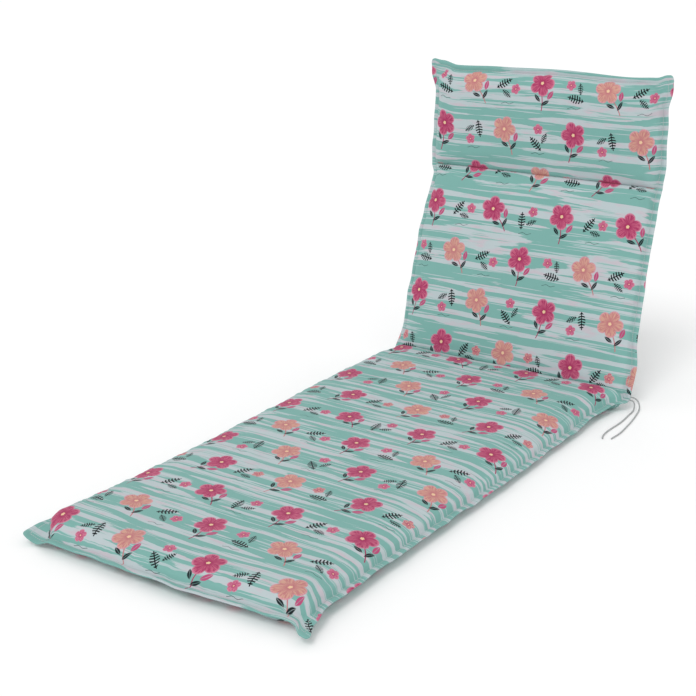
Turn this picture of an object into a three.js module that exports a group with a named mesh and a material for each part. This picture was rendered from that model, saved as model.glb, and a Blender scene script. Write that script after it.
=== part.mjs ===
// Sun lounger cushion: a foam pad in a sewn cloth cover with a flat standing seam all round.
// Two stitched channels divide it into seat, back and headrest, and it is folded along them as in use:
// the seat lies flat, the back leans and the headrest stands a little steeper.
// Millimetres, +Z up. The origin is on the floor under the middle of the pad's box,
// +Y runs from the foot towards the back and +X to the sitter's left.
import * as THREE from "three";

// Driving sizes of the pad
const WIDTH = 600;
const SEAT = 1197;
const BACK = 469;
const HEAD = 241;
const THICK = 46;
const CROWN = 4;
const BACK_LEAN = 69.3;
const HEAD_LEAN = 87.7;

// Standing seam: its width, and the thickness of the two cloths with their turnings
const SEAM_WIDTH = 14;
const SEAM_THICK = 3;

// Stitched channels: what is left between the threads, and how soon the foam regains its thickness
const STITCHED = 8;
const CHANNEL_ROLL = 24;

// Rounding of the foam: how far the sides roll over, how full they are, and the corners in plan
const SIDE_ROLL = 26;
const FULLNESS = 2.3;
const CORNER = 58;
const EAR_ROUND = 16;

// How far the lift of the seam and the draw of the ends reach into the pad
const LIFT_REACH = 62;
const DRAW_REACH = 210;
const CROWN_REACH = 170;

// Where the middle of the pad's box lies from the middle of the foot line
const BOX_MIDDLE = { x: 8.5, y: 694.9 };

// Ties: round cord in one pair, and the gap left where an end meets the seam it is sewn into
const TIE_DIAMETER = 3.2;
const TIE_SIDES = 8;
const TIE_STEP = 6.5;
const TOUCH = 0.3;

const MIDDLE = THICK / 2;
const LENGTH = SEAT + BACK + HEAD;
const CREASE = SEAT + BACK;

// Side edges as sewn, by length from the foot: how far each stands out from the plain width,
// and how far the seam rises above the pad's middle height
const SIDES = [
  { at: 0, left: 8, right: 32, leftLift: -4, rightLift: -6 },
  { at: 42, left: 2, right: 17, leftLift: 2, rightLift: 0 },
  { at: 90, left: 1, right: 4, leftLift: 3, rightLift: 0 },
  { at: 215, left: 1, right: 2, leftLift: 0, rightLift: -1 },
  { at: 410, left: -1, right: 0, leftLift: 0, rightLift: -3 },
  { at: 680, left: 5, right: 1, leftLift: 2, rightLift: -6 },
  { at: 900, left: 11, right: -3, leftLift: 5, rightLift: -7 },
  { at: 1080, left: 10, right: -6, leftLift: 6, rightLift: -5 },
  { at: SEAT - 42, left: 3, right: 0, leftLift: 3, rightLift: -3 },
  { at: SEAT - 17, left: 4, right: 18, leftLift: 0, rightLift: 0 },
  { at: SEAT, left: 4, right: 18, leftLift: 0, rightLift: 0 },
  { at: SEAT + 65, left: -5, right: 20, leftLift: 0, rightLift: 0 },
  { at: SEAT + 150, left: 0, right: 6, leftLift: 0, rightLift: 0 },
  { at: SEAT + 330, left: 1, right: -3, leftLift: 0, rightLift: 0 },
  { at: CREASE - 26, left: -8, right: -5, leftLift: 3, rightLift: 1 },
  { at: CREASE, left: 3, right: -4, leftLift: 0, rightLift: 0 },
  { at: CREASE + 60, left: 3, right: 0, leftLift: 0, rightLift: 0 },
  { at: LENGTH - 75, left: -2, right: -5, leftLift: 0, rightLift: 0 },
  { at: LENGTH - 30, left: 11, right: 4, leftLift: 0, rightLift: 0 },
  { at: LENGTH, left: 14, right: 4, leftLift: 0, rightLift: 0 },
];

// Foot and top edges, by distance across from the left: how far each stands out past its line, and its lift
const ENDS = [
  { at: 0, foot: 6, top: 11, footLift: 0, topLift: 2 },
  { at: 34, foot: 0, top: 6, footLift: -14, topLift: 0 },
  { at: 72, foot: 2, top: -3, footLift: -3, topLift: 0 },
  { at: 180, foot: 2, top: 0, footLift: -1, topLift: 0 },
  { at: 330, foot: 1, top: 2, footLift: 0, topLift: 1 },
  { at: 500, foot: -12, top: -4, footLift: 0, topLift: 0 },
  { at: 559, foot: -20, top: -1, footLift: 0, topLift: 0 },
  { at: 585, foot: -3, top: 6, footLift: -1, topLift: 0 },
  { at: 600, foot: 1, top: 9, footLift: -1, topLift: 0 },
];

// Grid lines of the cover: distances from a side edge, from an end edge and from a stitched channel
const FROM_SIDE = [0, 7, 14, 17, 22, 30, 42, 60, 105, 190];
const FROM_END = [0, 7, 14, 17, 22, 30, 42, 62, 100];
const FROM_HINGE = [0, 3, 7, 12, 17, 24, 34, 60];
const FROM_CREASE = [0, 3, 8, 15, 24, 45];
const SEAT_STEPS = 9;
const BACK_STEPS = 3;
const HEAD_STEPS = 1;

// Routes of the two ties: out of the seam beside the hinge, down to the floor and along it beside the seat
const TIE_ROOT = WIDTH / 2 + 18 + TOUCH;
const TIE_ON_FLOOR = TIE_DIAMETER / 2 + 0.1;
const TIES = {
  tie_inner: [
    [TIE_ROOT, 1192.5, 23],
    [321.8, 1192.6, 23],
    [325, 1192.8, 22.5],
    [327.9, 1193, 20.9],
    [329.9, 1193.3, 18.2],
    [330.9, 1193.2, 14.6],
    [331.3, 1192.5, 10.6],
    [331.5, 1190.5, 7],
    [331.9, 1187.1, 4.2],
    [332.2, 1182.2, 2.4],
    [333, 1173.7, TIE_ON_FLOOR],
    [333.7, 1160.9, TIE_ON_FLOOR],
    [335.3, 1143.2, TIE_ON_FLOOR],
    [336.9, 1123.5, TIE_ON_FLOOR],
    [337.5, 1103.8, TIE_ON_FLOOR],
    [336.6, 1083, TIE_ON_FLOOR],
    [335.3, 1059.3, TIE_ON_FLOOR],
    [335.9, 1036.6, TIE_ON_FLOOR],
    [339, 1017.9, TIE_ON_FLOOR],
    [344, 1005.2, TIE_ON_FLOOR],
  ],
  tie_outer: [
    [TIE_ROOT, 1198.8, 27.7],
    [324.5, 1199, 27.5],
    [330.5, 1199.5, 25.6],
    [335.6, 1200.1, 21],
    [338.9, 1200.3, 14.8],
    [340.4, 1199.4, 8.6],
    [341.4, 1196, 4.2],
    [343, 1189.3, 2],
    [345, 1179, TIE_ON_FLOOR],
    [347.6, 1166.2, TIE_ON_FLOOR],
    [351.2, 1146.6, TIE_ON_FLOOR],
    [355.3, 1120.1, TIE_ON_FLOOR],
    [358.5, 1092.5, TIE_ON_FLOOR],
    [361.1, 1065.9, TIE_ON_FLOOR],
    [361.7, 1044.2, TIE_ON_FLOOR],
    [360.3, 1026.4, TIE_ON_FLOOR],
    [359.9, 1014.5, TIE_ON_FLOOR],
  ],
};

const degrees = (angle) => (angle * Math.PI) / 180;
const clamp01 = (value) => Math.min(Math.max(value, 0), 1);
const smooth = (value) => clamp01(value) ** 2 * (3 - 2 * clamp01(value));

// Value of one column of a table at a place, easing from row to row
function read(table, column, place) {
  const next = table.findIndex((row) => row.at >= place);
  if (next <= 0) return table[next === 0 ? 0 : table.length - 1][column];
  const low = table[next - 1];
  const high = table[next];
  const share = smooth((place - low.at) / (high.at - low.at));
  return low[column] + (high[column] - low[column]) * share;
}

// Share of the full thickness at a distance in from a seam: a full, rounded side
function rolled(distance, reach) {
  const left = 1 - clamp01(distance / reach);
  return (1 - left ** FULLNESS) ** (1 / FULLNESS);
}

// Distance in from the seam line of a rectangle with round corners, so that the corners stay empty ears
function inside(sideGap, endGap) {
  if (sideGap >= CORNER || endGap >= CORNER) return Math.min(sideGap, endGap);
  return CORNER - Math.hypot(CORNER - sideGap, CORNER - endGap);
}

// The three sections of the folded middle surface, each with its start and its lean
const backStart = { y: SEAT, z: MIDDLE };
const headStart = {
  y: backStart.y + BACK * Math.cos(degrees(BACK_LEAN)),
  z: backStart.z + BACK * Math.sin(degrees(BACK_LEAN)),
};
const SECTIONS = [
  { from: 0, to: SEAT, y: 0, z: MIDDLE, lean: 0 },
  { from: SEAT, to: CREASE, y: backStart.y, z: backStart.z, lean: BACK_LEAN },
  { from: CREASE, to: LENGTH, y: headStart.y, z: headStart.z, lean: HEAD_LEAN },
];

// Point of the folded middle surface and the direction out of the sitter's side, mitred on a fold
function folded(along) {
  const first = SECTIONS.findIndex((section) => along <= section.to);
  const section = SECTIONS[first < 0 ? SECTIONS.length - 1 : first];
  const lean = degrees(section.lean);
  const past = along - section.from;
  const point = { y: section.y + past * Math.cos(lean), z: section.z + past * Math.sin(lean) };
  const onFold = along === section.to && along < LENGTH;
  const turn = onFold ? degrees(SECTIONS[first + 1].lean) - lean : 0;
  const facing = lean + turn / 2;
  const stretch = 1 / Math.cos(turn / 2);
  return { ...point, ny: -Math.sin(facing) * stretch, nz: Math.cos(facing) * stretch };
}

// Half thickness of the pad at a place; the sitter's side swells, and in a fold the two sides meet
function half(sideGap, endGap, along, front) {
  const edge = inside(sideGap - SEAM_WIDTH, endGap - SEAM_WIDTH);
  const toHinge = Math.abs(along - SEAT);
  const toCrease = Math.abs(along - CREASE);
  const nearest = Math.min(toHinge, toCrease);
  const channel = STITCHED / THICK + (1 - STITCHED / THICK) * rolled(nearest, CHANNEL_ROLL);
  let height = MIDDLE * rolled(edge, SIDE_ROLL) * channel;
  if (front) {
    height += CROWN * rolled(edge, CROWN_REACH) * rolled(nearest, CROWN_REACH);
    const meeting = Math.tan(degrees((180 - BACK_LEAN) / 2 - 2.3));
    height = Math.min(height, STITCHED / 2 + toHinge * meeting);
  }
  return Math.max(height, SEAM_THICK / 2);
}

// Grid lines along the pad: close together at the ends and channels, wide apart between
function linesAlong() {
  const spread = (low, high, count) =>
    Array.from({ length: count }, (_, i) => low + ((high - low) * (i + 1)) / (count + 1));
  const before = (place, list) => list.map((gap) => place - gap).reverse();
  const after = (place, list) => list.slice(1).map((gap) => place + gap);
  const endReach = FROM_END[FROM_END.length - 1];
  const hingeReach = FROM_HINGE[FROM_HINGE.length - 1];
  const creaseReach = FROM_CREASE[FROM_CREASE.length - 1];
  return [
    ...FROM_END,
    ...spread(endReach, SEAT - hingeReach, SEAT_STEPS),
    ...before(SEAT, FROM_HINGE),
    ...after(SEAT, FROM_HINGE),
    ...spread(SEAT + hingeReach, CREASE - creaseReach, BACK_STEPS),
    ...before(CREASE, FROM_CREASE),
    ...after(CREASE, FROM_CREASE),
    ...spread(CREASE + creaseReach, LENGTH - endReach, HEAD_STEPS),
    ...FROM_END.map((gap) => LENGTH - gap).reverse(),
  ];
}

// Grid lines across the pad, as distances from the left edge of the plain width
function linesAcross() {
  const right = FROM_SIDE.map((gap) => WIDTH - gap).reverse();
  return [...FROM_SIDE, WIDTH / 2, ...right];
}

// Place of one grid point on the sitter's side or on the underside; the seam's corners are drawn from a square
// onto a quarter disc
function coverPoint(across, along, front) {
  const sideGap = Math.min(across, WIDTH - across);
  const endGap = Math.min(along, LENGTH - along);
  const isLeft = across <= WIDTH / 2;
  const column = isLeft ? "left" : "right";
  const fromMiddle = (across - WIDTH / 2) / (WIDTH / 2);
  const x = fromMiddle * (WIDTH / 2 + read(SIDES, column, along));
  const footDraw = -read(ENDS, "foot", across) * (1 - smooth(along / DRAW_REACH));
  const topDraw = read(ENDS, "top", across) * (1 - smooth((LENGTH - along) / DRAW_REACH));
  const nearSide = clamp01(1 - sideGap / EAR_ROUND);
  const nearEnd = clamp01(1 - endGap / EAR_ROUND);
  const sideIn = EAR_ROUND * nearSide * (1 - Math.sqrt(1 - nearEnd ** 2 / 2));
  const endIn = EAR_ROUND * nearEnd * (1 - Math.sqrt(1 - nearSide ** 2 / 2));
  const drawnIn = along < LENGTH / 2 ? endIn : -endIn;
  const sideLift = read(SIDES, `${column}Lift`, along) * (1 - smooth(sideGap / LIFT_REACH));
  const endColumn = along < LENGTH / 2 ? "footLift" : "topLift";
  const endLift = read(ENDS, endColumn, across) * (1 - smooth(endGap / LIFT_REACH));
  const middle = folded(along + footDraw + topDraw + drawnIn);
  const offset = half(sideGap, endGap, along, front) * (front ? 1 : -1) + sideLift + endLift;
  const floor = front ? SEAM_THICK : 0;
  return new THREE.Vector3(
    x - Math.sign(fromMiddle) * sideIn,
    middle.y + middle.ny * offset,
    Math.max(middle.z + middle.nz * offset, floor),
  );
}

// Closed pad: the two covers as grids, joined by a narrow wall along the edge of the standing seam
function padGeometry() {
  const columns = linesAcross();
  const rows = linesAlong();
  const points = [];
  for (const front of [true, false]) {
    for (const along of rows) {
      for (const across of columns) points.push(coverPoint(across, along, front));
    }
  }
  const layer = rows.length * columns.length;
  const id = (column, row, side) => side * layer + row * columns.length + column;
  const faces = [];
  const quad = (a, b, c, d) => faces.push(a, b, c, a, c, d);
  for (let row = 0; row < rows.length - 1; row += 1) {
    for (let column = 0; column < columns.length - 1; column += 1) {
      const near = [id(column, row, 0), id(column + 1, row, 0), id(column + 1, row + 1, 0), id(column, row + 1, 0)];
      quad(...near);
      const [a, b, c, d] = near.map((index) => index + layer);
      quad(a, d, c, b);
    }
  }
  const lastColumn = columns.length - 1;
  const lastRow = rows.length - 1;
  for (let column = 0; column < lastColumn; column += 1) {
    quad(id(column, 0, 1), id(column + 1, 0, 1), id(column + 1, 0, 0), id(column, 0, 0));
    quad(id(column + 1, lastRow, 1), id(column, lastRow, 1), id(column, lastRow, 0), id(column + 1, lastRow, 0));
  }
  for (let row = 0; row < lastRow; row += 1) {
    quad(id(0, row + 1, 1), id(0, row, 1), id(0, row, 0), id(0, row + 1, 0));
    quad(id(lastColumn, row, 1), id(lastColumn, row + 1, 1), id(lastColumn, row + 1, 0), id(lastColumn, row, 0));
  }
  const geometry = new THREE.BufferGeometry().setFromPoints(points);
  geometry.setIndex(faces);
  geometry.computeVertexNormals();
  return geometry;
}

// Round cord along a smooth curve through its route's points
function tieGeometry(route) {
  const path = new THREE.CatmullRomCurve3(route.map((point) => new THREE.Vector3(...point)));
  const corners = Array.from({ length: TIE_SIDES }, (_, i) => {
    const angle = ((i + 0.5) / TIE_SIDES) * 2 * Math.PI;
    return new THREE.Vector2(Math.cos(angle), Math.sin(angle)).multiplyScalar(TIE_DIAMETER / 2);
  });
  const steps = Math.round(path.getLength() / TIE_STEP);
  return new THREE.ExtrudeGeometry(new THREE.Shape(corners), { steps, extrudePath: path });
}

const cloth = new THREE.MeshStandardMaterial({ color: 0x8cc9bf, roughness: 0.9, metalness: 0 });
const cord = new THREE.MeshStandardMaterial({ color: 0xdedfdc, roughness: 0.8, metalness: 0 });

const cushion = new THREE.Group();
const pad = new THREE.Mesh(padGeometry(), cloth);
pad.name = "pad";
cushion.add(pad);
for (const [name, route] of Object.entries(TIES)) {
  const tie = new THREE.Mesh(tieGeometry(route), cord);
  tie.name = name;
  cushion.add(tie);
}
cushion.position.set(-BOX_MIDDLE.x, -BOX_MIDDLE.y, 0);

export default cushion;
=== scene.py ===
import bpy
import numpy as np
from mathutils import Matrix


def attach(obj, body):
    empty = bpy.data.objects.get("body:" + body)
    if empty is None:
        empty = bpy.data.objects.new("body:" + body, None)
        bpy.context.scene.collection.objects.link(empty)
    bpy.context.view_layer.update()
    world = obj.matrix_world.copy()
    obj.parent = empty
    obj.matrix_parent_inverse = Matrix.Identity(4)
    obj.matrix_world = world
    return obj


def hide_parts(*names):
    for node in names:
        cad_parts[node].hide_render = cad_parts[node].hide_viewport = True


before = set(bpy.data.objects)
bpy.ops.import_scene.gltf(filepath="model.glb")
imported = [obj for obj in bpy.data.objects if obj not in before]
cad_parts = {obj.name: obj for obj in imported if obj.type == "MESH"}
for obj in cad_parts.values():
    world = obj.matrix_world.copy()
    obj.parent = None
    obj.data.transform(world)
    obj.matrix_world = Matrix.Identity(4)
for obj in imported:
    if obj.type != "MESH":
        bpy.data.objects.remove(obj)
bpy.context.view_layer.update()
MM = 0.001

# Camera: past the foot on the sitter's left, a little above the seat, looking along the cushion.
# A long lens from about 2.7 metres, with hardly any roll.
CAMERA_AT = (1.4295, -2.1145, 1.0970)
CAMERA_AZIMUTH = 35.77
CAMERA_ELEVATION = 18.78
CAMERA_ROLL = -0.85
LENS_MM = 69.7
SENSOR_MM = 36.0

camera = bpy.data.objects.new("camera", bpy.data.cameras.new("camera"))
bpy.context.collection.objects.link(camera)
camera.data.lens = LENS_MM
camera.data.sensor_width = SENSOR_MM
camera.matrix_world = (
    Matrix.Translation(CAMERA_AT)
    @ Matrix.Rotation(np.radians(CAMERA_AZIMUTH), 4, "Z")
    @ Matrix.Rotation(np.radians(90 - CAMERA_ELEVATION), 4, "X")
    @ Matrix.Rotation(np.radians(CAMERA_ROLL), 4, "Z")
)
bpy.context.scene.camera = camera

# Ties: two thin round cords of braided polyester, sewn into the seam beside the hinge.
# They are limp, drop to the floor and lie on it, and their ends are plain cuts.
BOX_MIDDLE = np.array([8.5, 694.9, 0.0])
TIE_DIAMETER = 3.2
TIE_ROOT = 318.3
TIE_ON_FLOOR = 1.7
TIE_AROUND = 12
TIE_RING_STEP = 1.6
TIE_END_SHARE = 0.6
TIE_OFF_AXIS = (0.3, 0.2, 1.0)
TIE_ROUTES = {
    "tie_inner": [
        (TIE_ROOT, 1192.5, 23),
        (321.8, 1192.6, 23),
        (325, 1192.8, 22.5),
        (327.9, 1193, 20.9),
        (329.9, 1193.3, 18.2),
        (330.9, 1193.2, 14.6),
        (331.3, 1192.5, 10.6),
        (331.5, 1190.5, 7),
        (331.9, 1187.1, 4.2),
        (332.2, 1182.2, 2.4),
        (333, 1173.7, TIE_ON_FLOOR),
        (333.7, 1160.9, TIE_ON_FLOOR),
        (335.3, 1143.2, TIE_ON_FLOOR),
        (336.9, 1123.5, TIE_ON_FLOOR),
        (337.5, 1103.8, TIE_ON_FLOOR),
        (336.6, 1083, TIE_ON_FLOOR),
        (335.3, 1059.3, TIE_ON_FLOOR),
        (335.9, 1036.6, TIE_ON_FLOOR),
        (339, 1017.9, TIE_ON_FLOOR),
        (344, 1005.2, TIE_ON_FLOOR),
    ],
    "tie_outer": [
        (TIE_ROOT, 1198.8, 27.7),
        (324.5, 1199, 27.5),
        (330.5, 1199.5, 25.6),
        (335.6, 1200.1, 21),
        (338.9, 1200.3, 14.8),
        (340.4, 1199.4, 8.6),
        (341.4, 1196, 4.2),
        (343, 1189.3, 2),
        (345, 1179, TIE_ON_FLOOR),
        (347.6, 1166.2, TIE_ON_FLOOR),
        (351.2, 1146.6, TIE_ON_FLOOR),
        (355.3, 1120.1, TIE_ON_FLOOR),
        (358.5, 1092.5, TIE_ON_FLOOR),
        (361.1, 1065.9, TIE_ON_FLOOR),
        (361.7, 1044.2, TIE_ON_FLOOR),
        (360.3, 1026.4, TIE_ON_FLOOR),
        (359.9, 1014.5, TIE_ON_FLOOR),
    ],
}


def colour(code):
    """Linear colour with full alpha from an sRGB hex value such as 0x8cc9bf."""
    parts = np.array([code >> 16 & 255, code >> 8 & 255, code & 255]) / 255
    linear = np.where(parts <= 0.04045, parts / 12.92, ((parts + 0.055) / 1.055) ** 2.4)
    return (*linear, 1.0)


def add(tree, kind, *inputs, **settings):
    """Adds a node and gives back its first output. The inputs fill its sockets in order, with a value or
    another node's output; None leaves a socket as it is. The settings are the node's own properties."""
    node = tree.nodes.new("ShaderNode" + kind)
    for name, value in settings.items():
        setattr(node, name, value)
    sockets = [socket for socket in node.inputs if socket.enabled]
    for socket, value in zip(sockets, inputs):
        if isinstance(value, bpy.types.NodeSocket):
            tree.links.new(value, socket)
        elif value is not None:
            socket.default_value = value
    return next(socket for socket in node.outputs if socket.enabled)


def finish_of(name, roughness, sheen):
    """New material with its tree and its main shader, set for a matt cloth of this roughness and sheen."""
    material = bpy.data.materials.new(name)
    material.use_nodes = True
    shader = material.node_tree.nodes["Principled BSDF"]
    shader.inputs["Roughness"].default_value = roughness
    shader.inputs["Specular IOR Level"].default_value = 0.25
    shader.inputs["Sheen Weight"].default_value = sheen
    shader.inputs["Sheen Roughness"].default_value = 0.4
    return material, material.node_tree, shader


def mesh_piece(name, points, faces, uv_maps, material):
    """Smooth object from its points in millimetres, its faces and, for each named map, a pair of values in
    metres at every corner of every face."""
    mesh = bpy.data.meshes.new(name)
    mesh.from_pydata((points * MM).tolist(), [], faces)
    for map_name, values in uv_maps.items():
        layer = mesh.uv_layers.new(name=map_name)
        layer.data.foreach_set("uv", (values * MM).astype(np.float32).ravel())
    mesh.polygons.foreach_set("use_smooth", np.ones(len(mesh.polygons), bool))
    mesh.materials.append(material)
    piece = bpy.data.objects.new(name, mesh)
    bpy.context.collection.objects.link(piece)
    return piece


def smooth_path(points, step):
    """Centripetal Catmull-Rom curve through the points, sampled about every step along it."""
    points = np.array(points, float)
    ends = np.vstack([2 * points[0] - points[1], points, 2 * points[-1] - points[-2]])
    gaps = np.sqrt(np.linalg.norm(np.diff(ends, axis=0), axis=1))[:, None]
    slopes = np.diff(ends, axis=0) / gaps
    across = (ends[2:] - ends[:-2]) / (gaps[:-1] + gaps[1:])
    tangents = slopes[:-1] - across + slopes[1:]
    spans = np.linalg.norm(np.diff(points, axis=0), axis=1)
    pieces = []
    for i, span in enumerate(spans):
        t = np.linspace(0, 1, max(int(np.ceil(span / step)), 2) + 1)[:-1, None]
        gap = gaps[i + 1]
        pieces.append(
            (2 * t**3 - 3 * t**2 + 1) * points[i]
            + (t**3 - 2 * t**2 + t) * gap * tangents[i]
            + (3 * t**2 - 2 * t**3) * points[i + 1]
            + (t**3 - t**2) * gap * tangents[i + 1]
        )
    return np.vstack([*pieces, points[-1:]])


def tie_tube(name, route, material):
    """Round tube about the route: rings square to it, with narrowed flat ends. Its map gives the way round
    and the way along the cord. The rings are laid out from a direction that no part of a route follows."""
    path = smooth_path(np.array(route, float) - BOX_MIDDLE, TIE_RING_STEP)
    along = np.gradient(path, axis=0)
    along /= np.linalg.norm(along, axis=1)[:, None]
    side = np.cross(along, TIE_OFF_AXIS)
    side /= np.linalg.norm(side, axis=1)[:, None]
    other = np.cross(along, side)
    angle = np.arange(TIE_AROUND) * 2 * np.pi / TIE_AROUND
    radius = np.full(len(path), TIE_DIAMETER / 2)
    radius[[0, -1]] *= TIE_END_SHARE
    turned = np.cos(angle)[None, :, None] * side[:, None] + np.sin(angle)[None, :, None] * other[:, None]
    rings = path[:, None] + turned * radius[:, None, None]
    ring, spoke = np.meshgrid(np.arange(len(path) - 1), np.arange(TIE_AROUND), indexing="ij")
    here = ring * TIE_AROUND + spoke
    after = ring * TIE_AROUND + (spoke + 1) % TIE_AROUND
    quads = np.stack([here, after, after + TIE_AROUND, here + TIE_AROUND], axis=-1).reshape(-1, 4)
    last = len(rings) - 1
    start = list(range(TIE_AROUND))[::-1]
    end = [last * TIE_AROUND + i for i in range(TIE_AROUND)]
    length = np.append(0, np.cumsum(np.linalg.norm(np.diff(path, axis=0), axis=1)))
    arc = np.pi * TIE_DIAMETER / TIE_AROUND
    low, high = length[ring], length[ring + 1]
    corners = [(spoke * arc, low), ((spoke + 1) * arc, low), ((spoke + 1) * arc, high), (spoke * arc, high)]
    wound = np.stack([np.stack(corner, axis=-1) for corner in corners], axis=2).reshape(-1, 2)
    wound = np.vstack([wound, np.zeros((2 * TIE_AROUND, 2))])
    faces = quads.tolist() + [start, end]
    piece = mesh_piece(name, rings.reshape(-1, 3), faces, {"wound": wound}, material)
    return piece, path * MM


# Braided polyester cord: light grey and matt, with the fine diagonal relief of its plait, whose strands
# are about 1.1 mm wide
PLAIT_ANGLE = 38
PLAIT_DENSITY = 900
CORD_LIGHT = 0xb0b2b2
CORD_DARK = 0x8d9090
tie_finish, tree, shader = finish_of("braided_cord", 0.85, 0.2)
wound = add(tree, "UVMap", uv_map="wound")
plait_turn = (0, 0, np.radians(PLAIT_ANGLE))
strand = add(tree, "Mapping", wound, None, plait_turn, (PLAIT_DENSITY, PLAIT_DENSITY, 1))
plait = add(tree, "TexChecker", strand, colour(CORD_LIGHT), colour(CORD_DARK), 1.0)
tree.links.new(plait, shader.inputs["Base Color"])
relief = add(tree, "Bump", 0.35, 0.0004, None, plait)
tree.links.new(relief, shader.inputs["Normal"])

for tie_name, route in TIE_ROUTES.items():
    tie, path = tie_tube(tie_name + "_cord", route, tie_finish)
    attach(tie, "root")
    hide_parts(tie_name)

# Pad: a soft foam slab in a cover of printed polyester canvas, sewn all round with a flat standing seam,
# and sewn through along two channels. It is folded there: the seat lies flat, the back leans and the
# headrest stands a little steeper.
WIDTH = 600.0
SEAT = 1197.0
BACK = 469.0
HEAD = 241.0
THICK = 46.0
CROWN = 4.0
BACK_LEAN = 69.3
HEAD_LEAN = 87.7
FOLD_OPEN = 2.3
SEAM_WIDTH = 14.0
SEAM_THICK = 3.0
STITCH_LINE = 11.5
STITCHED = 8.0
CHANNEL_ROLL = 24.0
SIDE_ROLL = 26.0
FULLNESS = 2.3
CORNER = 58.0
EAR_ROUND = 16.0
LIFT_REACH = 62.0
DRAW_REACH = 210.0
CROWN_REACH = 170.0
MIDDLE = THICK / 2
CREASE = SEAT + BACK
LENGTH = CREASE + HEAD

# Side edges as sewn, by length from the foot: how far each stands out, and how far its seam rises.
# Left and right are as seen from the foot.
SIDE_COLUMNS = ("at", "left", "right", "left_lift", "right_lift")
SIDE_ROWS = [
    (0, 8, 32, -4, -6),
    (42, 2, 17, 2, 0),
    (90, 1, 4, 3, 0),
    (215, 1, 2, 0, -1),
    (410, -1, 0, 0, -3),
    (680, 5, 1, 2, -6),
    (900, 11, -3, 5, -7),
    (1080, 10, -6, 6, -5),
    (SEAT - 42, 3, 0, 3, -3),
    (SEAT - 17, 4, 18, 0, 0),
    (SEAT, 4, 18, 0, 0),
    (SEAT + 65, -5, 20, 0, 0),
    (SEAT + 150, 0, 6, 0, 0),
    (SEAT + 330, 1, -3, 0, 0),
    (CREASE - 26, -8, -5, 3, 1),
    (CREASE, 3, -4, 0, 0),
    (CREASE + 60, 3, 0, 0, 0),
    (LENGTH - 75, -2, -5, 0, 0),
    (LENGTH - 30, 11, 4, 0, 0),
    (LENGTH, 14, 4, 0, 0),
]

# Foot and top edges, by distance across from the left: how far each stands out, and its rise
END_COLUMNS = ("at", "foot", "top", "foot_lift", "top_lift")
END_ROWS = [
    (0, 6, 11, 0, 2),
    (34, 0, 6, -14, 0),
    (72, 2, -3, -3, 0),
    (180, 2, 0, -1, 0),
    (330, 1, 2, 0, 1),
    (500, -12, -4, 0, 0),
    (559, -20, -1, 0, 0),
    (585, -3, 6, -1, 0),
    (600, 1, 9, -1, 0),
]
SIDES = dict(zip(SIDE_COLUMNS, np.array(SIDE_ROWS, float).T))
ENDS = dict(zip(END_COLUMNS, np.array(END_ROWS, float).T))


def smooth(value):
    """Smooth step from 0 to 1."""
    value = np.clip(value, 0, 1)
    return value**2 * (3 - 2 * value)


def eased(table, column, place):
    """One column of a table at each place, easing from row to row."""
    at, values = table["at"], table[column]
    high = np.clip(np.searchsorted(at, place), 1, len(at) - 1)
    share = smooth((place - at[high - 1]) / (at[high] - at[high - 1]))
    return values[high - 1] + (values[high] - values[high - 1]) * share


def rolled(distance, reach):
    """Share of the full thickness at a distance in from a seam, for a full, rounded side."""
    left = 1 - np.clip(distance / reach, 0, 1)
    return (1 - left**FULLNESS) ** (1 / FULLNESS)


def inside(side_gap, end_gap):
    """Distance in from the seam line of a rectangle with round corners."""
    corner = CORNER - np.hypot(CORNER - side_gap, CORNER - end_gap)
    near_corner = (side_gap < CORNER) & (end_gap < CORNER)
    return np.where(near_corner, corner, np.minimum(side_gap, end_gap))


def folded(along):
    """Middle surface of the folded pad: straight stretches, with the direction out of the sitter's side,
    which is mitred on a fold."""
    back, head = np.radians(BACK_LEAN), np.radians(HEAD_LEAN)
    starts = [(0.0, MIDDLE, 0.0, 0.0), (SEAT, MIDDLE, back, SEAT)]
    starts.append((SEAT + BACK * np.cos(back), MIDDLE + BACK * np.sin(back), head, CREASE))
    part = (along > SEAT).astype(int) + (along > CREASE)
    y0, z0, lean, start = np.array(starts)[part].T
    turn = np.where(along == SEAT, back, np.where(along == CREASE, head - back, 0))
    past = along - start
    facing = lean + turn / 2
    y = y0 + past * np.cos(lean)
    z = z0 + past * np.sin(lean)
    return y, z, -np.sin(facing) / np.cos(turn / 2), np.cos(facing) / np.cos(turn / 2)


def half(side_gap, end_gap, along, front):
    """Half thickness: a rolled side and rolled channels, and a crown on the sitter's side. In the fold at
    the hinge the seat and the back meet, with a few degrees left open."""
    edge = inside(side_gap - SEAM_WIDTH, end_gap - SEAM_WIDTH)
    to_hinge = np.abs(along - SEAT)
    nearest = np.minimum(to_hinge, np.abs(along - CREASE))
    channel = STITCHED / THICK + (1 - STITCHED / THICK) * rolled(nearest, CHANNEL_ROLL)
    height = MIDDLE * rolled(edge, SIDE_ROLL) * channel
    if front:
        height = height + CROWN * rolled(edge, CROWN_REACH) * rolled(nearest, CROWN_REACH)
        meeting = np.tan(np.radians((180 - BACK_LEAN) / 2 - FOLD_OPEN))
        height = np.minimum(height, STITCHED / 2 + to_hinge * meeting)
    return np.maximum(height, SEAM_THICK / 2)


def uneven(place, short, long, seed):
    """Unevenness of sewn cloth along a line: waves between the two lengths, with settled phases, about
    1 high."""
    chance = np.random.default_rng(seed)
    lengths = np.geomspace(short, long, 7) * chance.uniform(0.93, 1.07, 7)
    phases = chance.uniform(0, 2 * np.pi, 7)
    return np.sin(place[..., None] * 2 * np.pi / lengths + phases).sum(-1) / 3.2


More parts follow.
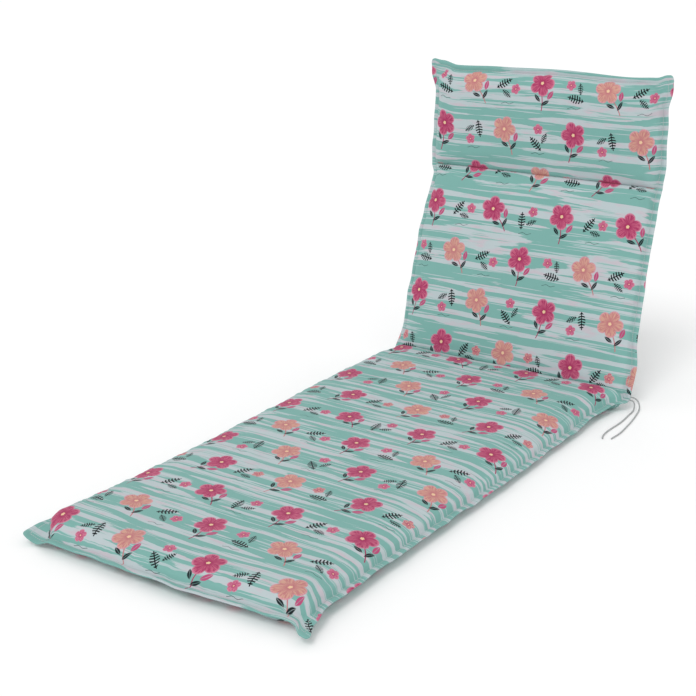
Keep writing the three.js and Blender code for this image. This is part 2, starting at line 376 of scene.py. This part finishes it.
def rippled(across, along, short, long, seed):
    """Soft unevenness of a surface: plane waves in settled directions, about 1 high."""
    chance = np.random.default_rng(seed)
    total = 0
    for length in np.geomspace(short, long, 9):
        turn, phase = chance.uniform(0, np.pi), chance.uniform(0, 2 * np.pi)
        way = across * np.cos(turn) + along * np.sin(turn)
        total = total + np.sin(way * 2 * np.pi / length + phase)
    return total / 3.5


# How the seam's edge lies once sewn: it wanders sideways, and it waves up and down
WANDER = 1.1
WANDER_WAVES = (70, 260)
WANDER_REACH = 30.0
SIDE_WAVE = 1.5
END_WAVE = 1.2
EDGE_WAVES = (55, 230)
WAVE_REACH = 34.0
OTHER_LINE = 900


def cover(across, along, front, dressed, swell=None):
    """Points of one cover on the grid of the two lists of lines. The corners of the seam are drawn from
    a square onto a quarter disc. Dressed adds what sewing does to the cloth: puckers along the seam,
    a waving seam edge and soft unevenness; swell is what the simulation found."""
    along, across = np.meshgrid(along, across, indexing="ij")
    side_gap = np.minimum(across, WIDTH - across)
    end_gap = np.minimum(along, LENGTH - along)
    left = across <= WIDTH / 2
    at_foot = along < LENGTH / 2
    from_middle = (across - WIDTH / 2) / (WIDTH / 2)
    stands_out = np.where(left, eased(SIDES, "left", along), eased(SIDES, "right", along))
    near_side, near_end = (np.clip(1 - gap / EAR_ROUND, 0, 1) for gap in (side_gap, end_gap))
    side_in = EAR_ROUND * near_side * (1 - np.sqrt(1 - near_end**2 / 2))
    end_in = EAR_ROUND * near_end * (1 - np.sqrt(1 - near_side**2 / 2))
    x = from_middle * (WIDTH / 2 + stands_out) - np.sign(from_middle) * side_in
    draw = -eased(ENDS, "foot", across) * (1 - smooth(along / DRAW_REACH))
    draw += eased(ENDS, "top", across) * (1 - smooth((LENGTH - along) / DRAW_REACH))
    draw += np.where(at_foot, end_in, -end_in)
    side_lift = np.where(left, eased(SIDES, "left_lift", along), eased(SIDES, "right_lift", along))
    end_lift = np.where(at_foot, eased(ENDS, "foot_lift", across), eased(ENDS, "top_lift", across))
    lift = side_lift * (1 - smooth(side_gap / LIFT_REACH)) + end_lift * (1 - smooth(end_gap / LIFT_REACH))
    thickness = half(side_gap, end_gap, along, front)
    if dressed:
        thickness = thickness + sewn(side_gap, end_gap, across, along, front)
        wander = np.sign(from_middle) * WANDER * uneven(along, *WANDER_WAVES, 4)
        x = x + wander * (1 - smooth(side_gap / WANDER_REACH))
        side_wave = SIDE_WAVE * uneven(along + OTHER_LINE * left, *EDGE_WAVES, 11)
        lift = lift + side_wave * (1 - smooth(side_gap / WAVE_REACH))
        end_wave = END_WAVE * uneven(across + OTHER_LINE * (along < SEAT), *EDGE_WAVES, 12)
        lift = lift + end_wave * (1 - smooth(end_gap / WAVE_REACH))
    y, z, ny, nz = folded((along + draw).ravel())
    y, z, ny, nz = (values.reshape(along.shape) for values in (y, z, ny, nz))
    offset = thickness * (1 if front else -1) + lift
    points = np.stack([x, y + ny * offset, z + nz * offset], axis=-1)
    if swell is not None:
        points = points + swell
    points[..., 2] = np.maximum(points[..., 2], SEAM_THICK if front else 0)
    return points


# Low relief of the sewn and stuffed cloth, with how high each form is, how far in from the edge it lies,
# how wide it is, and the shortest and longest of its waves
EDGE_THINNED = 0.9
EDGE_REACH = 2.5
DENT = 0.7
DENT_WIDTH = 1.6
PUFF = 0.45
PUFF_AT = 5.5
PUFF_WIDTH = 3.2
PUFF_SWING = 0.8
PUFF_WAVES = (11, 34)
PUCKER = 0.8
PUCKER_AT = 19
PUCKER_WIDTH = 8
PUCKER_WAVES = (13, 38)
FOLD = 1.5
FOLD_AT = 30
FOLD_WIDTH = 15
FOLD_TOP = 0.3
FOLD_WAVES = (34, 120)
GIVE = 0.9
GIVE_FROM = 18
GIVE_REACH = 60
GIVE_WAVES = (95, 330)


def ridge(gap, at, width):
    """Rounded ridge along the seam, 1 high at its distance in from the edge."""
    return np.exp(-(((gap - at) / width) ** 2))


def sewn(side_gap, end_gap, across, along, front):
    """What sewing and stuffing add to the half thickness: a rounded seam edge, a dent along the stitches,
    puckers across it that run on into the roll, and a soft unevenness of the foam."""
    gap = np.minimum(side_gap, end_gap)
    on_side = side_gap < end_gap
    line = np.where(on_side, along + 5000 * (across < WIDTH / 2), across + 9000 + 4000 * (along < SEAT))
    edge = -EDGE_THINNED * (1 - smooth(gap / EDGE_REACH))
    dent = -DENT * ridge(gap, STITCH_LINE, DENT_WIDTH)
    swing = 1 + PUFF_SWING * uneven(line, *PUFF_WAVES, 21)
    puff = PUFF * ridge(gap, PUFF_AT, PUFF_WIDTH) * swing
    pucker = uneven(line, *PUCKER_WAVES, 22 + front) * ridge(gap, PUCKER_AT, PUCKER_WIDTH)
    fold = np.minimum(uneven(line, *FOLD_WAVES, 24 + front), FOLD_TOP) * ridge(gap, FOLD_AT, FOLD_WIDTH)
    soft = rippled(across, along, *GIVE_WAVES, 31 + front) * smooth((gap - GIVE_FROM) / GIVE_REACH)
    return edge + dent + puff + PUCKER * pucker + FOLD * fold + GIVE * soft


# Foam and cloth, simulated: the cover is a little larger than the foam, is pinned where it is sewn, and
# the foam's spring is a light pressure from inside. How far a point may move is capped, and the give
# fades out towards the seam, the hinge and the crease below the headrest.
EVEN_STEP = 10.0
SPRING = 4.0
EASE = -0.012
CAP = 3.0
STEPS = 20
SEAM_FADE = 12
HINGE_FADE = 40
CREASE_FADE = 16


def closed_faces(rows, columns):
    """Quads of the sitter's side, of the underside, and of the strip that joins them round the edge."""
    row, column = np.meshgrid(np.arange(rows - 1), np.arange(columns - 1), indexing="ij")
    here = row * columns + column
    front = np.stack([here, here + 1, here + columns + 1, here + columns], axis=-1).reshape(-1, 4)
    rear = front[:, ::-1] + rows * columns
    left = np.arange(rows) * columns
    foot = np.arange(columns)
    right = left[1:] + columns - 1
    top = (rows - 1) * columns + foot[-2::-1]
    ring = np.concatenate([foot, right, top, left[-2:0:-1]])
    after = np.roll(ring, -1)
    strip = np.stack([ring, ring + rows * columns, after + rows * columns, after], axis=-1)
    return front, rear, strip


def settled(even_across, even_along):
    """Runs the cloth simulation on an even grid, and gives how far each point of the two covers moved."""
    covers = [cover(even_across, even_along, front, False) for front in (True, False)]
    rest = np.concatenate([points.reshape(-1, 3) for points in covers])
    faces = np.vstack(closed_faces(len(even_along), len(even_across)))
    mesh = bpy.data.meshes.new("cover_trial")
    mesh.from_pydata((rest * MM).tolist(), [], faces.tolist())
    trial = bpy.data.objects.new("cover_trial", mesh)
    bpy.context.collection.objects.link(trial)
    along, across = np.meshgrid(even_along, even_across, indexing="ij")
    gap = np.minimum(np.minimum(across, WIDTH - across), np.minimum(along, LENGTH - along))
    channel = np.minimum(np.abs(along - SEAT), np.abs(along - CREASE))
    held = np.tile(((gap < SEAM_WIDTH + 1) | (channel < EVEN_STEP * 0.6)).ravel(), 2)
    group = trial.vertex_groups.new(name="sewn")
    group.add(np.flatnonzero(held).tolist(), 1.0, "REPLACE")
    cloth = trial.modifiers.new("cloth", "CLOTH")
    cloth.settings.quality = 5
    cloth.settings.mass = 0.2
    cloth.settings.tension_stiffness = 25
    cloth.settings.compression_stiffness = 25
    cloth.settings.shear_stiffness = 8
    cloth.settings.bending_stiffness = 0.6
    cloth.settings.vertex_group_mass = "sewn"
    cloth.settings.shrink_min = EASE
    cloth.settings.use_pressure = True
    cloth.settings.uniform_pressure_force = SPRING
    cloth.settings.effector_weights.gravity = 0
    cloth.collision_settings.use_collision = False
    cloth.point_cache.frame_end = STEPS
    scene = bpy.context.scene
    for frame_number in range(1, STEPS + 1):
        scene.frame_set(frame_number)
    seen = trial.evaluated_get(bpy.context.evaluated_depsgraph_get())
    moved = np.empty(len(rest) * 3, np.float32)
    seen.data.vertices.foreach_get("co", moved)
    shift = moved.reshape(-1, 3) / MM - rest
    bpy.data.objects.remove(trial)
    bpy.data.meshes.remove(mesh)
    scene.frame_set(1)
    reach = np.linalg.norm(shift, axis=1)[:, None]
    shift *= np.minimum(1, CAP / np.maximum(reach, 1e-6))
    return shift.reshape(2, len(even_along), len(even_across), 3)


def spline_weights(places, knots):
    """Cubic B-spline weights that carry values from evenly spaced knots to any places between them."""
    t = np.abs(places[:, None] - knots[None]) / (knots[1] - knots[0])
    weights = np.where(t < 1, 2 / 3 - t**2 + t**3 / 2, np.where(t < 2, (2 - t) ** 3 / 6, 0))
    return weights / weights.sum(axis=1, keepdims=True)


# Grid lines of the cover: close together at the seams and channels, and even between
FROM_EDGE = [0, 0.9, 2.5, 5, 7.5, 9.8, 11.5, 13, 14, 15.5, 17.5, 20, 23, 26.5, 31, 36, 42, 49, 57, 66]
FROM_CHANNEL = [0, 1, 2.4, 4.2, 6.5, 9.5, 13, 17, 21, 25, 30, 36, 43, 51, 60]
STEP_ACROSS = 8.0
STEP_ALONG = 5.0


def lines(length, channels, step):
    """Grid lines along one side: the fixed distances from both ends and from each channel, and even
    steps between them."""
    fixed = np.array(FROM_EDGE, float)
    near = np.array(FROM_CHANNEL, float)
    places = [fixed]
    for channel in channels:
        places.append(channel - near[::-1])
        places.append(channel + near[1:])
    places.append(length - fixed[::-1])
    result = []
    for low, high in zip(places[:-1], places[1:]):
        count = int(round((high[0] - low[-1]) / step))
        result += [low, np.linspace(low[-1], high[0], count + 1)[1:-1] if count > 1 else low[:0]]
    return np.unique(np.concatenate([*result, places[-1]]))


across_lines = lines(WIDTH, [], STEP_ACROSS)
along_lines = lines(LENGTH, [SEAT, CREASE], STEP_ALONG)
swell = [None, None]
even_across = np.linspace(0, WIDTH, int(WIDTH / EVEN_STEP) + 1)
even_along = np.linspace(0, LENGTH, int(LENGTH / EVEN_STEP) + 1)
shift = settled(even_across, even_along)
carry_along = spline_weights(along_lines, even_along)
carry_across = spline_weights(across_lines, even_across)
fine_gap = np.minimum(across_lines, WIDTH - across_lines)[None]
end_gap = np.minimum(along_lines, LENGTH - along_lines)[:, None]
free = smooth((np.minimum(fine_gap, end_gap) - SEAM_WIDTH) / SEAM_FADE)
free = free * smooth(np.abs(along_lines - SEAT) / HINGE_FADE)[:, None]
free = free * smooth(np.abs(along_lines - CREASE) / CREASE_FADE)[:, None]
for side in (0, 1):
    swell[side] = np.einsum("ai,ijk,bj->abk", carry_along, shift[side], carry_across) * free[..., None]

covers = [cover(across_lines, along_lines, front, True, swell[1 - front]) for front in (True, False)]
for points in covers:
    points -= BOX_MIDDLE
front_faces, rear_faces, strip_faces = closed_faces(len(along_lines), len(across_lines))
pad_faces = np.vstack([front_faces, rear_faces, strip_faces])


def laid_out(points):
    """Place of each point on the flat cloth: arc length from the foot up the middle, and across from
    the middle."""
    middle = len(across_lines) // 2
    up = np.linalg.norm(np.diff(points[:, middle], axis=0), axis=1)
    up = np.append(0, np.cumsum(up))
    steps = np.linalg.norm(np.diff(points, axis=1), axis=2)
    out = np.concatenate([np.zeros((len(points), 1)), np.cumsum(steps, axis=1)], axis=1)
    out = out - out[:, middle : middle + 1]
    return np.stack([out, np.broadcast_to(up[:, None], out.shape)], axis=-1).reshape(-1, 2)


print_map = np.vstack([laid_out(points) for points in covers])
gap_across = np.minimum(across_lines, WIDTH - across_lines)
gap_along = np.minimum(along_lines, LENGTH - along_lines)
seam_map = np.stack(np.meshgrid(gap_across, gap_along), axis=-1).reshape(-1, 2)
seam_map = np.tile(seam_map, (2, 1))
to_channel = np.minimum(np.abs(along_lines - SEAT), np.abs(along_lines - CREASE))
channel_map = np.tile(np.stack(np.meshgrid(across_lines, to_channel)[::-1], axis=-1).reshape(-1, 2), (2, 1))
loops = pad_faces.ravel()

# The print, laid out flat in metres: flowers on stems in a half-drop repeat, sprigs and small blossoms
# between them, over uneven stripes that run across the cushion.
REPEAT_WIDTH = 0.17
REPEAT_HEIGHT = 0.11
REPEAT_CELLS = (2, 4, 1)
BLOOM_RADIUS = 0.031
HOT_BLOOM_RADIUS = 0.042
BLOSSOM_RADIUS = 0.0125
PRINT_EDGE = 0.0005
PETALS = 5
NOTCH = 0.36
RIM = 0xd293a9
STAMEN = 0xe3c09a


def cells(tree, place, start, seed):
    """Place in its own cell of the half-drop repeat, measured from the cell's middle, with three chance
    values."""
    density = (1 / REPEAT_WIDTH, 1 / REPEAT_HEIGHT, 0)
    scaled = add(tree, "VectorMath", place, density, (*start, 0), operation="MULTIPLY_ADD")
    row = add(tree, "Math", add(tree, "SeparateXYZ", scaled).node.outputs["Y"], operation="FLOOR")
    drop = add(tree, "CombineXYZ", add(tree, "Math", row, 0.5, operation="MULTIPLY"))
    moved = add(tree, "VectorMath", scaled, drop, operation="ADD")
    number = add(tree, "VectorMath", moved, operation="FLOOR")
    number = add(tree, "VectorMath", number, REPEAT_CELLS, (0, 0, 0), operation="WRAP")
    number = add(tree, "VectorMath", number, (0.31, 0.67, seed), operation="ADD")
    chance = add(tree, "TexWhiteNoise", number, noise_dimensions="3D").node.outputs["Color"]
    within = add(tree, "VectorMath", moved, operation="FRACTION")
    size = (REPEAT_WIDTH, REPEAT_HEIGHT, 0)
    middle = (-REPEAT_WIDTH / 2, -REPEAT_HEIGHT / 2, 0)
    return add(tree, "VectorMath", within, size, middle, operation="MULTIPLY_ADD"), chance


def bloom(tree, place, radius, turn, petal, shade):
    """Five-petalled bloom about the place's origin: its cover and its colour. Each petal is notched,
    streaked from the throat, and paler at its rim."""
    parts = add(tree, "SeparateXYZ", place).node.outputs
    angle = add(tree, "Math", parts["Y"], parts["X"], operation="ARCTAN2")
    angle = add(tree, "Math", angle, PETALS / 2, turn, operation="MULTIPLY_ADD")
    lobe = add(tree, "Math", add(tree, "Math", angle, operation="COSINE"), operation="ABSOLUTE")
    lobe = add(tree, "Math", lobe, 0.55, operation="POWER")
    reach = add(tree, "Math", lobe, NOTCH, 1 - NOTCH, operation="MULTIPLY_ADD")
    reach = add(tree, "Math", reach, radius, operation="MULTIPLY")
    out = add(tree, "VectorMath", place, operation="LENGTH")
    share = add(tree, "Math", out, reach, operation="DIVIDE")
    way = add(tree, "VectorMath", place, operation="NORMALIZE")
    rise = add(tree, "Math", share, 0.8, turn, operation="MULTIPLY_ADD")
    rise = add(tree, "CombineXYZ", None, None, rise)
    way = add(tree, "VectorMath", way, (5, 5, 5), rise, operation="MULTIPLY_ADD")
    streak = add(tree, "TexNoise", way, None, 1.3, 3.0, 0.6)
    streak = add(tree, "MapRange", streak, 0.48, 0.53, 0.0, 0.85)
    throat = add(tree, "MapRange", share, 0.5, 0.16, 0.0, 1.0, interpolation_type="SMOOTHSTEP")
    valley = add(tree, "MapRange", lobe, 0.42, 0.2, 0.0, 1.0)
    dark = add(tree, "Math", streak, throat, operation="MAXIMUM")
    dark = add(tree, "Math", dark, valley, operation="MAXIMUM")
    rim = add(tree, "MapRange", share, 0.84, 0.93, 0.0, 0.5)
    shown = add(tree, "Mix", dark, petal, shade, data_type="RGBA")
    shown = add(tree, "Mix", rim, shown, colour(RIM), data_type="RGBA")
    stamen = add(tree, "MapRange", share, 0.15, 0.11, 0.0, 1.0)
    shown = add(tree, "Mix", stamen, shown, colour(STAMEN), data_type="RGBA")
    return add(tree, "MapRange", share, 1.0, 0.98, 0.0, 1.0), shown


def leaf(tree, place, middle, turn, length, width):
    """Cover of a leaf with two pointed ends, and the place along and across it from -1 to 1."""
    size = (length / 2, width / 2, 1)
    laid = add(tree, "Mapping", place, middle, (0, 0, turn), size, vector_type="TEXTURE")
    parts = add(tree, "SeparateXYZ", laid).node.outputs
    aside = add(tree, "Math", parts["Y"], operation="ABSOLUTE")
    bow = add(tree, "Math", parts["X"], parts["X"], aside, operation="MULTIPLY_ADD")
    edge = 1.5 * PRINT_EDGE / width
    return add(tree, "MapRange", bow, 1 + edge, 1 - edge, 0.0, 1.0), parts["X"], aside


# Printed polyester canvas: woven and then printed, so it is matt, with a faint sheen and a fine relief.
# The print's outlines tremble a little, as if drawn by hand.
TREMBLE = 0.0035
cloth_finish, tree, shader = finish_of("printed_canvas", 0.88, 0.12)
print_place = add(tree, "UVMap", uv_map="print")
tremble = add(tree, "TexNoise", print_place, None, 70.0, 2.0, 0.5).node.outputs["Color"]
hand = add(tree, "VectorMath", tremble, (TREMBLE, TREMBLE, 0), print_place, operation="MULTIPLY_ADD")

# Stripes: long brushed bands whose ends run dry. The marks of the brush are given by how many of them go
# to a metre across and along the cushion.
STRIPE_PITCH = 0.023
BAND_MARKS = (1.3, 17, 0)
BRISTLE_MARKS = (11, 330, 0)
STROKE_MARKS = (1.7, 61, 0)
STROKE_SHIFT = (3.1, 8.7, 0)
BLUSH_MARKS = (9, 34, 0)
PALE = 0xb4c0c3
PALE_BLUSH = 0xc6b0bb
PALE_STROKE = 0x86b2ab
AQUA = 0x78a9a2
AQUA_STROKE = 0xaebfc1
level = add(tree, "SeparateXYZ", hand).node.outputs["Y"]
level = add(tree, "Math", level, 2 * np.pi / STRIPE_PITCH, operation="MULTIPLY")
level = add(tree, "Math", level, operation="SINE")
brushed = add(tree, "VectorMath", hand, BAND_MARKS, operation="MULTIPLY")
band = add(tree, "TexNoise", brushed, None, 1.0, 1.4, 0.5)
band = add(tree, "Math", level, 0.075, band, operation="MULTIPLY_ADD")
bristles = add(tree, "VectorMath", hand, BRISTLE_MARKS, operation="MULTIPLY")
bristles = add(tree, "TexNoise", bristles, None, 1.0, 2.0, 0.6)
band = add(tree, "Math", bristles, 0.07, band, operation="MULTIPLY_ADD")
band = add(tree, "MapRange", band, 0.508, 0.515, 0.0, 1.0)
strokes = add(tree, "VectorMath", hand, STROKE_MARKS, STROKE_SHIFT, operation="MULTIPLY_ADD")
strokes = add(tree, "TexNoise", strokes, None, 1.0, 1.2, 0.5)
strokes = add(tree, "Math", bristles, 0.08, strokes, operation="MULTIPLY_ADD")
strokes = add(tree, "MapRange", strokes, 0.642, 0.65, 0.0, 0.85)
blush = add(tree, "VectorMath", hand, BLUSH_MARKS, operation="MULTIPLY")
blush = add(tree, "TexNoise", blush, None, 1.0, 2.0, 0.5)
blush = add(tree, "MapRange", blush, 0.5, 0.66, 0.0, 0.55)
pale = add(tree, "Mix", blush, colour(PALE), colour(PALE_BLUSH), data_type="RGBA")
pale = add(tree, "Mix", strokes, pale, colour(PALE_STROKE), data_type="RGBA")
aqua = add(tree, "Mix", strokes, colour(AQUA), colour(AQUA_STROKE), data_type="RGBA")
shown = add(tree, "Mix", band, pale, aqua, data_type="RGBA")

# Between the flowers: a small blossom, two leafy sprigs and a short waved line. A sprig is a leaf shape
# cut into rows of leaflets on a rib, and is given by its middle, lean, length and width.
LINE_TURNS = 290
LINE_HEIGHT = 0.0016
LINE_BELOW = 0.036
LINE_INK = 0x213234
SPRIGS = (((-0.012, 0.010, 0), 0.5, 0.042, 0.019), ((-0.004, -0.014, 0), -0.7, 0.028, 0.013))
SPRIG_ROWS = 3.4
SPRIG_FILLED = 0.52
SPRIG_INK = 0x13191d
BLOSSOM_SHIFT = (-0.019, 0.004, 0)
BLOSSOM_PINK = 0xc8768e
BLOSSOM_PEACH = 0xcb9c8e
BLOSSOM_SHADE = 0xa83f69
gap_place, gap_chance = cells(tree, hand, (0.5, 0.0), 7.3)
gap_parts = add(tree, "SeparateXYZ", gap_chance).node.outputs
wave_place = add(tree, "SeparateXYZ", gap_place).node.outputs
ripple = add(tree, "Math", wave_place["X"], LINE_TURNS, operation="MULTIPLY")
ripple = add(tree, "Math", ripple, operation="SINE")
ripple = add(tree, "Math", ripple, LINE_HEIGHT, LINE_BELOW, operation="MULTIPLY_ADD")
ripple = add(tree, "Math", wave_place["Y"], ripple, operation="ADD")
ripple = add(tree, "MapRange", add(tree, "Math", ripple, operation="ABSOLUTE"), 0.0008, 0.0004, 0.0, 1.0)
short = add(tree, "Math", wave_place["X"], operation="ABSOLUTE")
short = add(tree, "MapRange", short, 0.017, 0.016, 0.0, 0.8)
ripple = add(tree, "Math", ripple, short, operation="MULTIPLY")
shown = add(tree, "Mix", ripple, shown, colour(LINE_INK), data_type="RGBA")
turned = add(tree, "Math", gap_parts["X"], 6.28, operation="MULTIPLY")
turned = add(tree, "VectorRotate", gap_place, (0, 0, 0), turned, rotation_type="Z_AXIS")
for middle, lean, length, width in SPRIGS:
    cover_share, upward, aside = leaf(tree, turned, middle, lean, length, width)
    rows = add(tree, "Math", upward, SPRIG_ROWS, operation="MULTIPLY")
    rows = add(tree, "Math", aside, -0.42, rows, operation="MULTIPLY_ADD")
    rows = add(tree, "Math", rows, operation="FRACT")
    rows = add(tree, "Math", rows, SPRIG_FILLED, operation="LESS_THAN")
    rib = add(tree, "Math", aside, 0.12, operation="LESS_THAN")
    rows = add(tree, "Math", rows, rib, operation="MAXIMUM")
    rows = add(tree, "Math", rows, cover_share, operation="MULTIPLY")
    shown = add(tree, "Mix", rows, shown, colour(SPRIG_INK), data_type="RGBA")
blossom_place = add(tree, "VectorMath", turned, BLOSSOM_SHIFT, operation="ADD")
rosy = add(tree, "Math", gap_parts["Y"], 0.5, operation="GREATER_THAN")
petal = add(tree, "Mix", rosy, colour(BLOSSOM_PINK), colour(BLOSSOM_PEACH), data_type="RGBA")
shade = colour(BLOSSOM_SHADE)
cover_share, bloom_colour = bloom(tree, blossom_place, BLOSSOM_RADIUS, gap_parts["Z"], petal, shade)
shown = add(tree, "Mix", cover_share, shown, bloom_colour, data_type="RGBA")

# Flowers: a bloom on a thin curved stem with a pair of leaves and a bud. Leaves and bud are given by
# middle, lean, length, width and colour.
PINK = 0xbb5a78
PINK_SHADE = 0x9c2a58
CRIMSON = 0xa52a66
CRIMSON_SHADE = 0x860f3e
PEACH = 0xca9a89
PEACH_SHADE = 0xb87377
LEAF_INK = 0x152024
STEM_TURNS = 48
STEM_BEND = 0.005
STEM_TOP = 0.012
STEM_FOOT = -0.049
HEAD_SHIFT = (0, -0.014, 0)
LEAVES_AND_BUD = (
    ((0.012, -0.030, 0), 0.55, 0.024, 0.008, LEAF_INK),
    ((-0.008, -0.020, 0), 2.3, 0.022, 0.008, LEAF_INK),
    ((0.024, -0.012, 0), 1.0, 0.024, 0.011, 0xb34873),
)
flower_place, chance = cells(tree, hand, (0.0, 0.0), 5.4)
chance_parts = add(tree, "SeparateXYZ", chance).node.outputs
lean = add(tree, "Math", chance_parts["X"], 1.5, -0.75, operation="MULTIPLY_ADD")
flower_place = add(tree, "VectorRotate", flower_place, (0, 0, 0), lean, rotation_type="Z_AXIS")
flower = add(tree, "SeparateXYZ", flower_place).node.outputs
hot = add(tree, "Math", chance_parts["Y"], 0.46, operation="LESS_THAN")
peach = add(tree, "Math", chance_parts["Y"], 0.74, operation="GREATER_THAN")
petal = add(tree, "Mix", hot, colour(PINK), colour(CRIMSON), data_type="RGBA")
petal = add(tree, "Mix", peach, petal, colour(PEACH), data_type="RGBA")
shade = add(tree, "Mix", hot, colour(PINK_SHADE), colour(CRIMSON_SHADE), data_type="RGBA")
shade = add(tree, "Mix", peach, shade, colour(PEACH_SHADE), data_type="RGBA")
bend = add(tree, "Math", flower["Y"], STEM_TURNS, operation="MULTIPLY")
bend = add(tree, "Math", bend, operation="SINE")
bend = add(tree, "Math", bend, STEM_BEND, flower["X"], operation="MULTIPLY_ADD")
bend = add(tree, "Math", bend, operation="ABSOLUTE")
stem = add(tree, "MapRange", bend, 0.0014, 0.0008, 0.0, 1.0)
below_bloom = add(tree, "Math", flower["Y"], STEM_TOP, operation="LESS_THAN")
stem = add(tree, "Math", stem, below_bloom, operation="MULTIPLY")
above_foot = add(tree, "Math", flower["Y"], STEM_FOOT, operation="GREATER_THAN")
stem = add(tree, "Math", stem, above_foot, operation="MULTIPLY")
shown = add(tree, "Mix", stem, shown, shade, data_type="RGBA")
for middle, lean, length, width, code in LEAVES_AND_BUD:
    cover_share, upward, aside = leaf(tree, flower_place, middle, lean, length, width)
    vein = add(tree, "MapRange", aside, 0.06, 0.16, 0.5, 1.0)
    cover_share = add(tree, "Math", cover_share, vein, operation="MULTIPLY")
    shown = add(tree, "Mix", cover_share, shown, colour(code), data_type="RGBA")
radius = add(tree, "Math", hot, HOT_BLOOM_RADIUS - BLOOM_RADIUS, BLOOM_RADIUS, operation="MULTIPLY_ADD")
head = add(tree, "VectorMath", flower_place, HEAD_SHIFT, operation="ADD")
cover_share, bloom_colour = bloom(tree, head, radius, chance_parts["Z"], petal, shade)
shown = add(tree, "Mix", cover_share, shown, bloom_colour, data_type="RGBA")

# Topstitching: one row round the seam and one in each channel, in a pale thread
STITCH_LENGTH = 0.0042
STITCH_SHARE = 0.78
THREAD = 0.0006
THREAD_COLOUR = 0xa9b4b3
seam = add(tree, "SeparateXYZ", add(tree, "UVMap", uv_map="seam")).node.outputs
channel = add(tree, "SeparateXYZ", add(tree, "UVMap", uv_map="channel")).node.outputs
from_edge = add(tree, "Math", seam["X"], seam["Y"], operation="MINIMUM")
along_edge = add(tree, "Math", seam["X"], seam["Y"], operation="MAXIMUM")
thread = 0.0
stitch_rows = (
    (from_edge, along_edge, STITCH_LINE * MM),
    (channel["X"], channel["Y"], 0.0),
)
for off, run, stitch_row in stitch_rows:
    on_row = add(tree, "Math", off, stitch_row, THREAD, operation="COMPARE")
    stitch = add(tree, "Math", run, 1 / STITCH_LENGTH, operation="MULTIPLY")
    stitch = add(tree, "Math", stitch, operation="FRACT")
    stitch = add(tree, "Math", stitch, STITCH_SHARE, operation="LESS_THAN")
    stitch = add(tree, "Math", stitch, on_row, operation="MULTIPLY")
    thread = add(tree, "Math", stitch, thread, operation="MAXIMUM")
shown = add(tree, "Mix", thread, shown, colour(THREAD_COLOUR), data_type="RGBA")

# Plain weave, drawn at about twice its real pitch so that it holds in a picture, and the cloth's slight
# unevenness in tone
WEAVE_PITCH = 0.0012
turns = 2 * np.pi / WEAVE_PITCH
yarns = add(tree, "VectorMath", print_place, (turns, turns, 0), operation="MULTIPLY")
yarns = add(tree, "SeparateXYZ", add(tree, "VectorMath", yarns, operation="SINE")).node.outputs
weave = add(tree, "Math", yarns["X"], yarns["Y"], operation="MULTIPLY")
tone = add(tree, "TexNoise", print_place, None, 9.0, 3.0, 0.6)
tone = add(tree, "MapRange", tone, 0.3, 0.7, 0.96, 1.03)
tone = add(tree, "Math", weave, 0.02, tone, operation="MULTIPLY_ADD")
toned = add(tree, "VectorMath", shown, None, None, tone, operation="SCALE")
tree.links.new(toned, shader.inputs["Base Color"])
creases = add(tree, "TexNoise", print_place, None, 26.0, 3.0, 0.55)
creases = add(tree, "Bump", 0.35, 0.003, None, creases)
relief = add(tree, "Math", thread, 2.0, weave, operation="MULTIPLY_ADD")
relief = add(tree, "Bump", 0.4, 0.00025, None, relief, creases)
tree.links.new(relief, shader.inputs["Normal"])

pad = mesh_piece(
    "pad_cover",
    np.vstack([points.reshape(-1, 3) for points in covers]),
    pad_faces.tolist(),
    {"print": print_map[loops], "seam": seam_map[loops], "channel": channel_map[loops]},
    cloth_finish,
)
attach(pad, "root")
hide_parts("pad")

# Setting: a plain white floor under a white sky, which is a little brighter near the horizon than above,
# with a soft light from above and from the front left of the camera
FLOOR_REACH = 400.0
FLOOR_WHITE = 0xf8f8f8
HORIZON_STRENGTH = 1.0
SKY_STRENGTH = 0.83
SKY_FROM = 0.3
SKY_UP_TO = 0.45
LIGHT_STRENGTH = 0.95
LIGHT_SPREAD = 25
LIGHT_TURN = 8
LIGHT_LEAN = 36
corner = FLOOR_REACH / 2
floor = bpy.data.objects.new("floor", bpy.data.meshes.new("floor"))
floor_corners = [(-corner, -corner, 0), (corner, -corner, 0), (corner, corner, 0), (-corner, corner, 0)]
floor.data.from_pydata(floor_corners, [], [(0, 1, 2, 3)])
bpy.context.collection.objects.link(floor)
floor_finish, tree, shader = finish_of("white_floor", 0.95, 0.0)
shader.inputs["Base Color"].default_value = colour(FLOOR_WHITE)
floor.data.materials.append(floor_finish)
world = bpy.data.worlds.new("studio")
bpy.context.scene.world = world
world.use_nodes = True
tree = world.node_tree
sky = tree.nodes["Background"]
sky.inputs["Color"].default_value = (1, 1, 1, 1)
height = add(tree, "SeparateXYZ", add(tree, "TexCoord")).node.outputs["Z"]
strength = add(tree, "MapRange", height, SKY_FROM, SKY_UP_TO, HORIZON_STRENGTH, SKY_STRENGTH)
tree.links.new(strength, sky.inputs["Strength"])
bpy.context.scene.view_settings.view_transform = "Standard"
key = bpy.data.objects.new("key", bpy.data.lights.new("key", "SUN"))
key.data.energy = LIGHT_STRENGTH
key.data.angle = np.radians(LIGHT_SPREAD)
key.matrix_world = (
    Matrix.Rotation(np.radians(LIGHT_TURN), 4, "Z")
    @ Matrix.Rotation(np.radians(LIGHT_LEAN), 4, "X")
)
bpy.context.collection.objects.link(key)
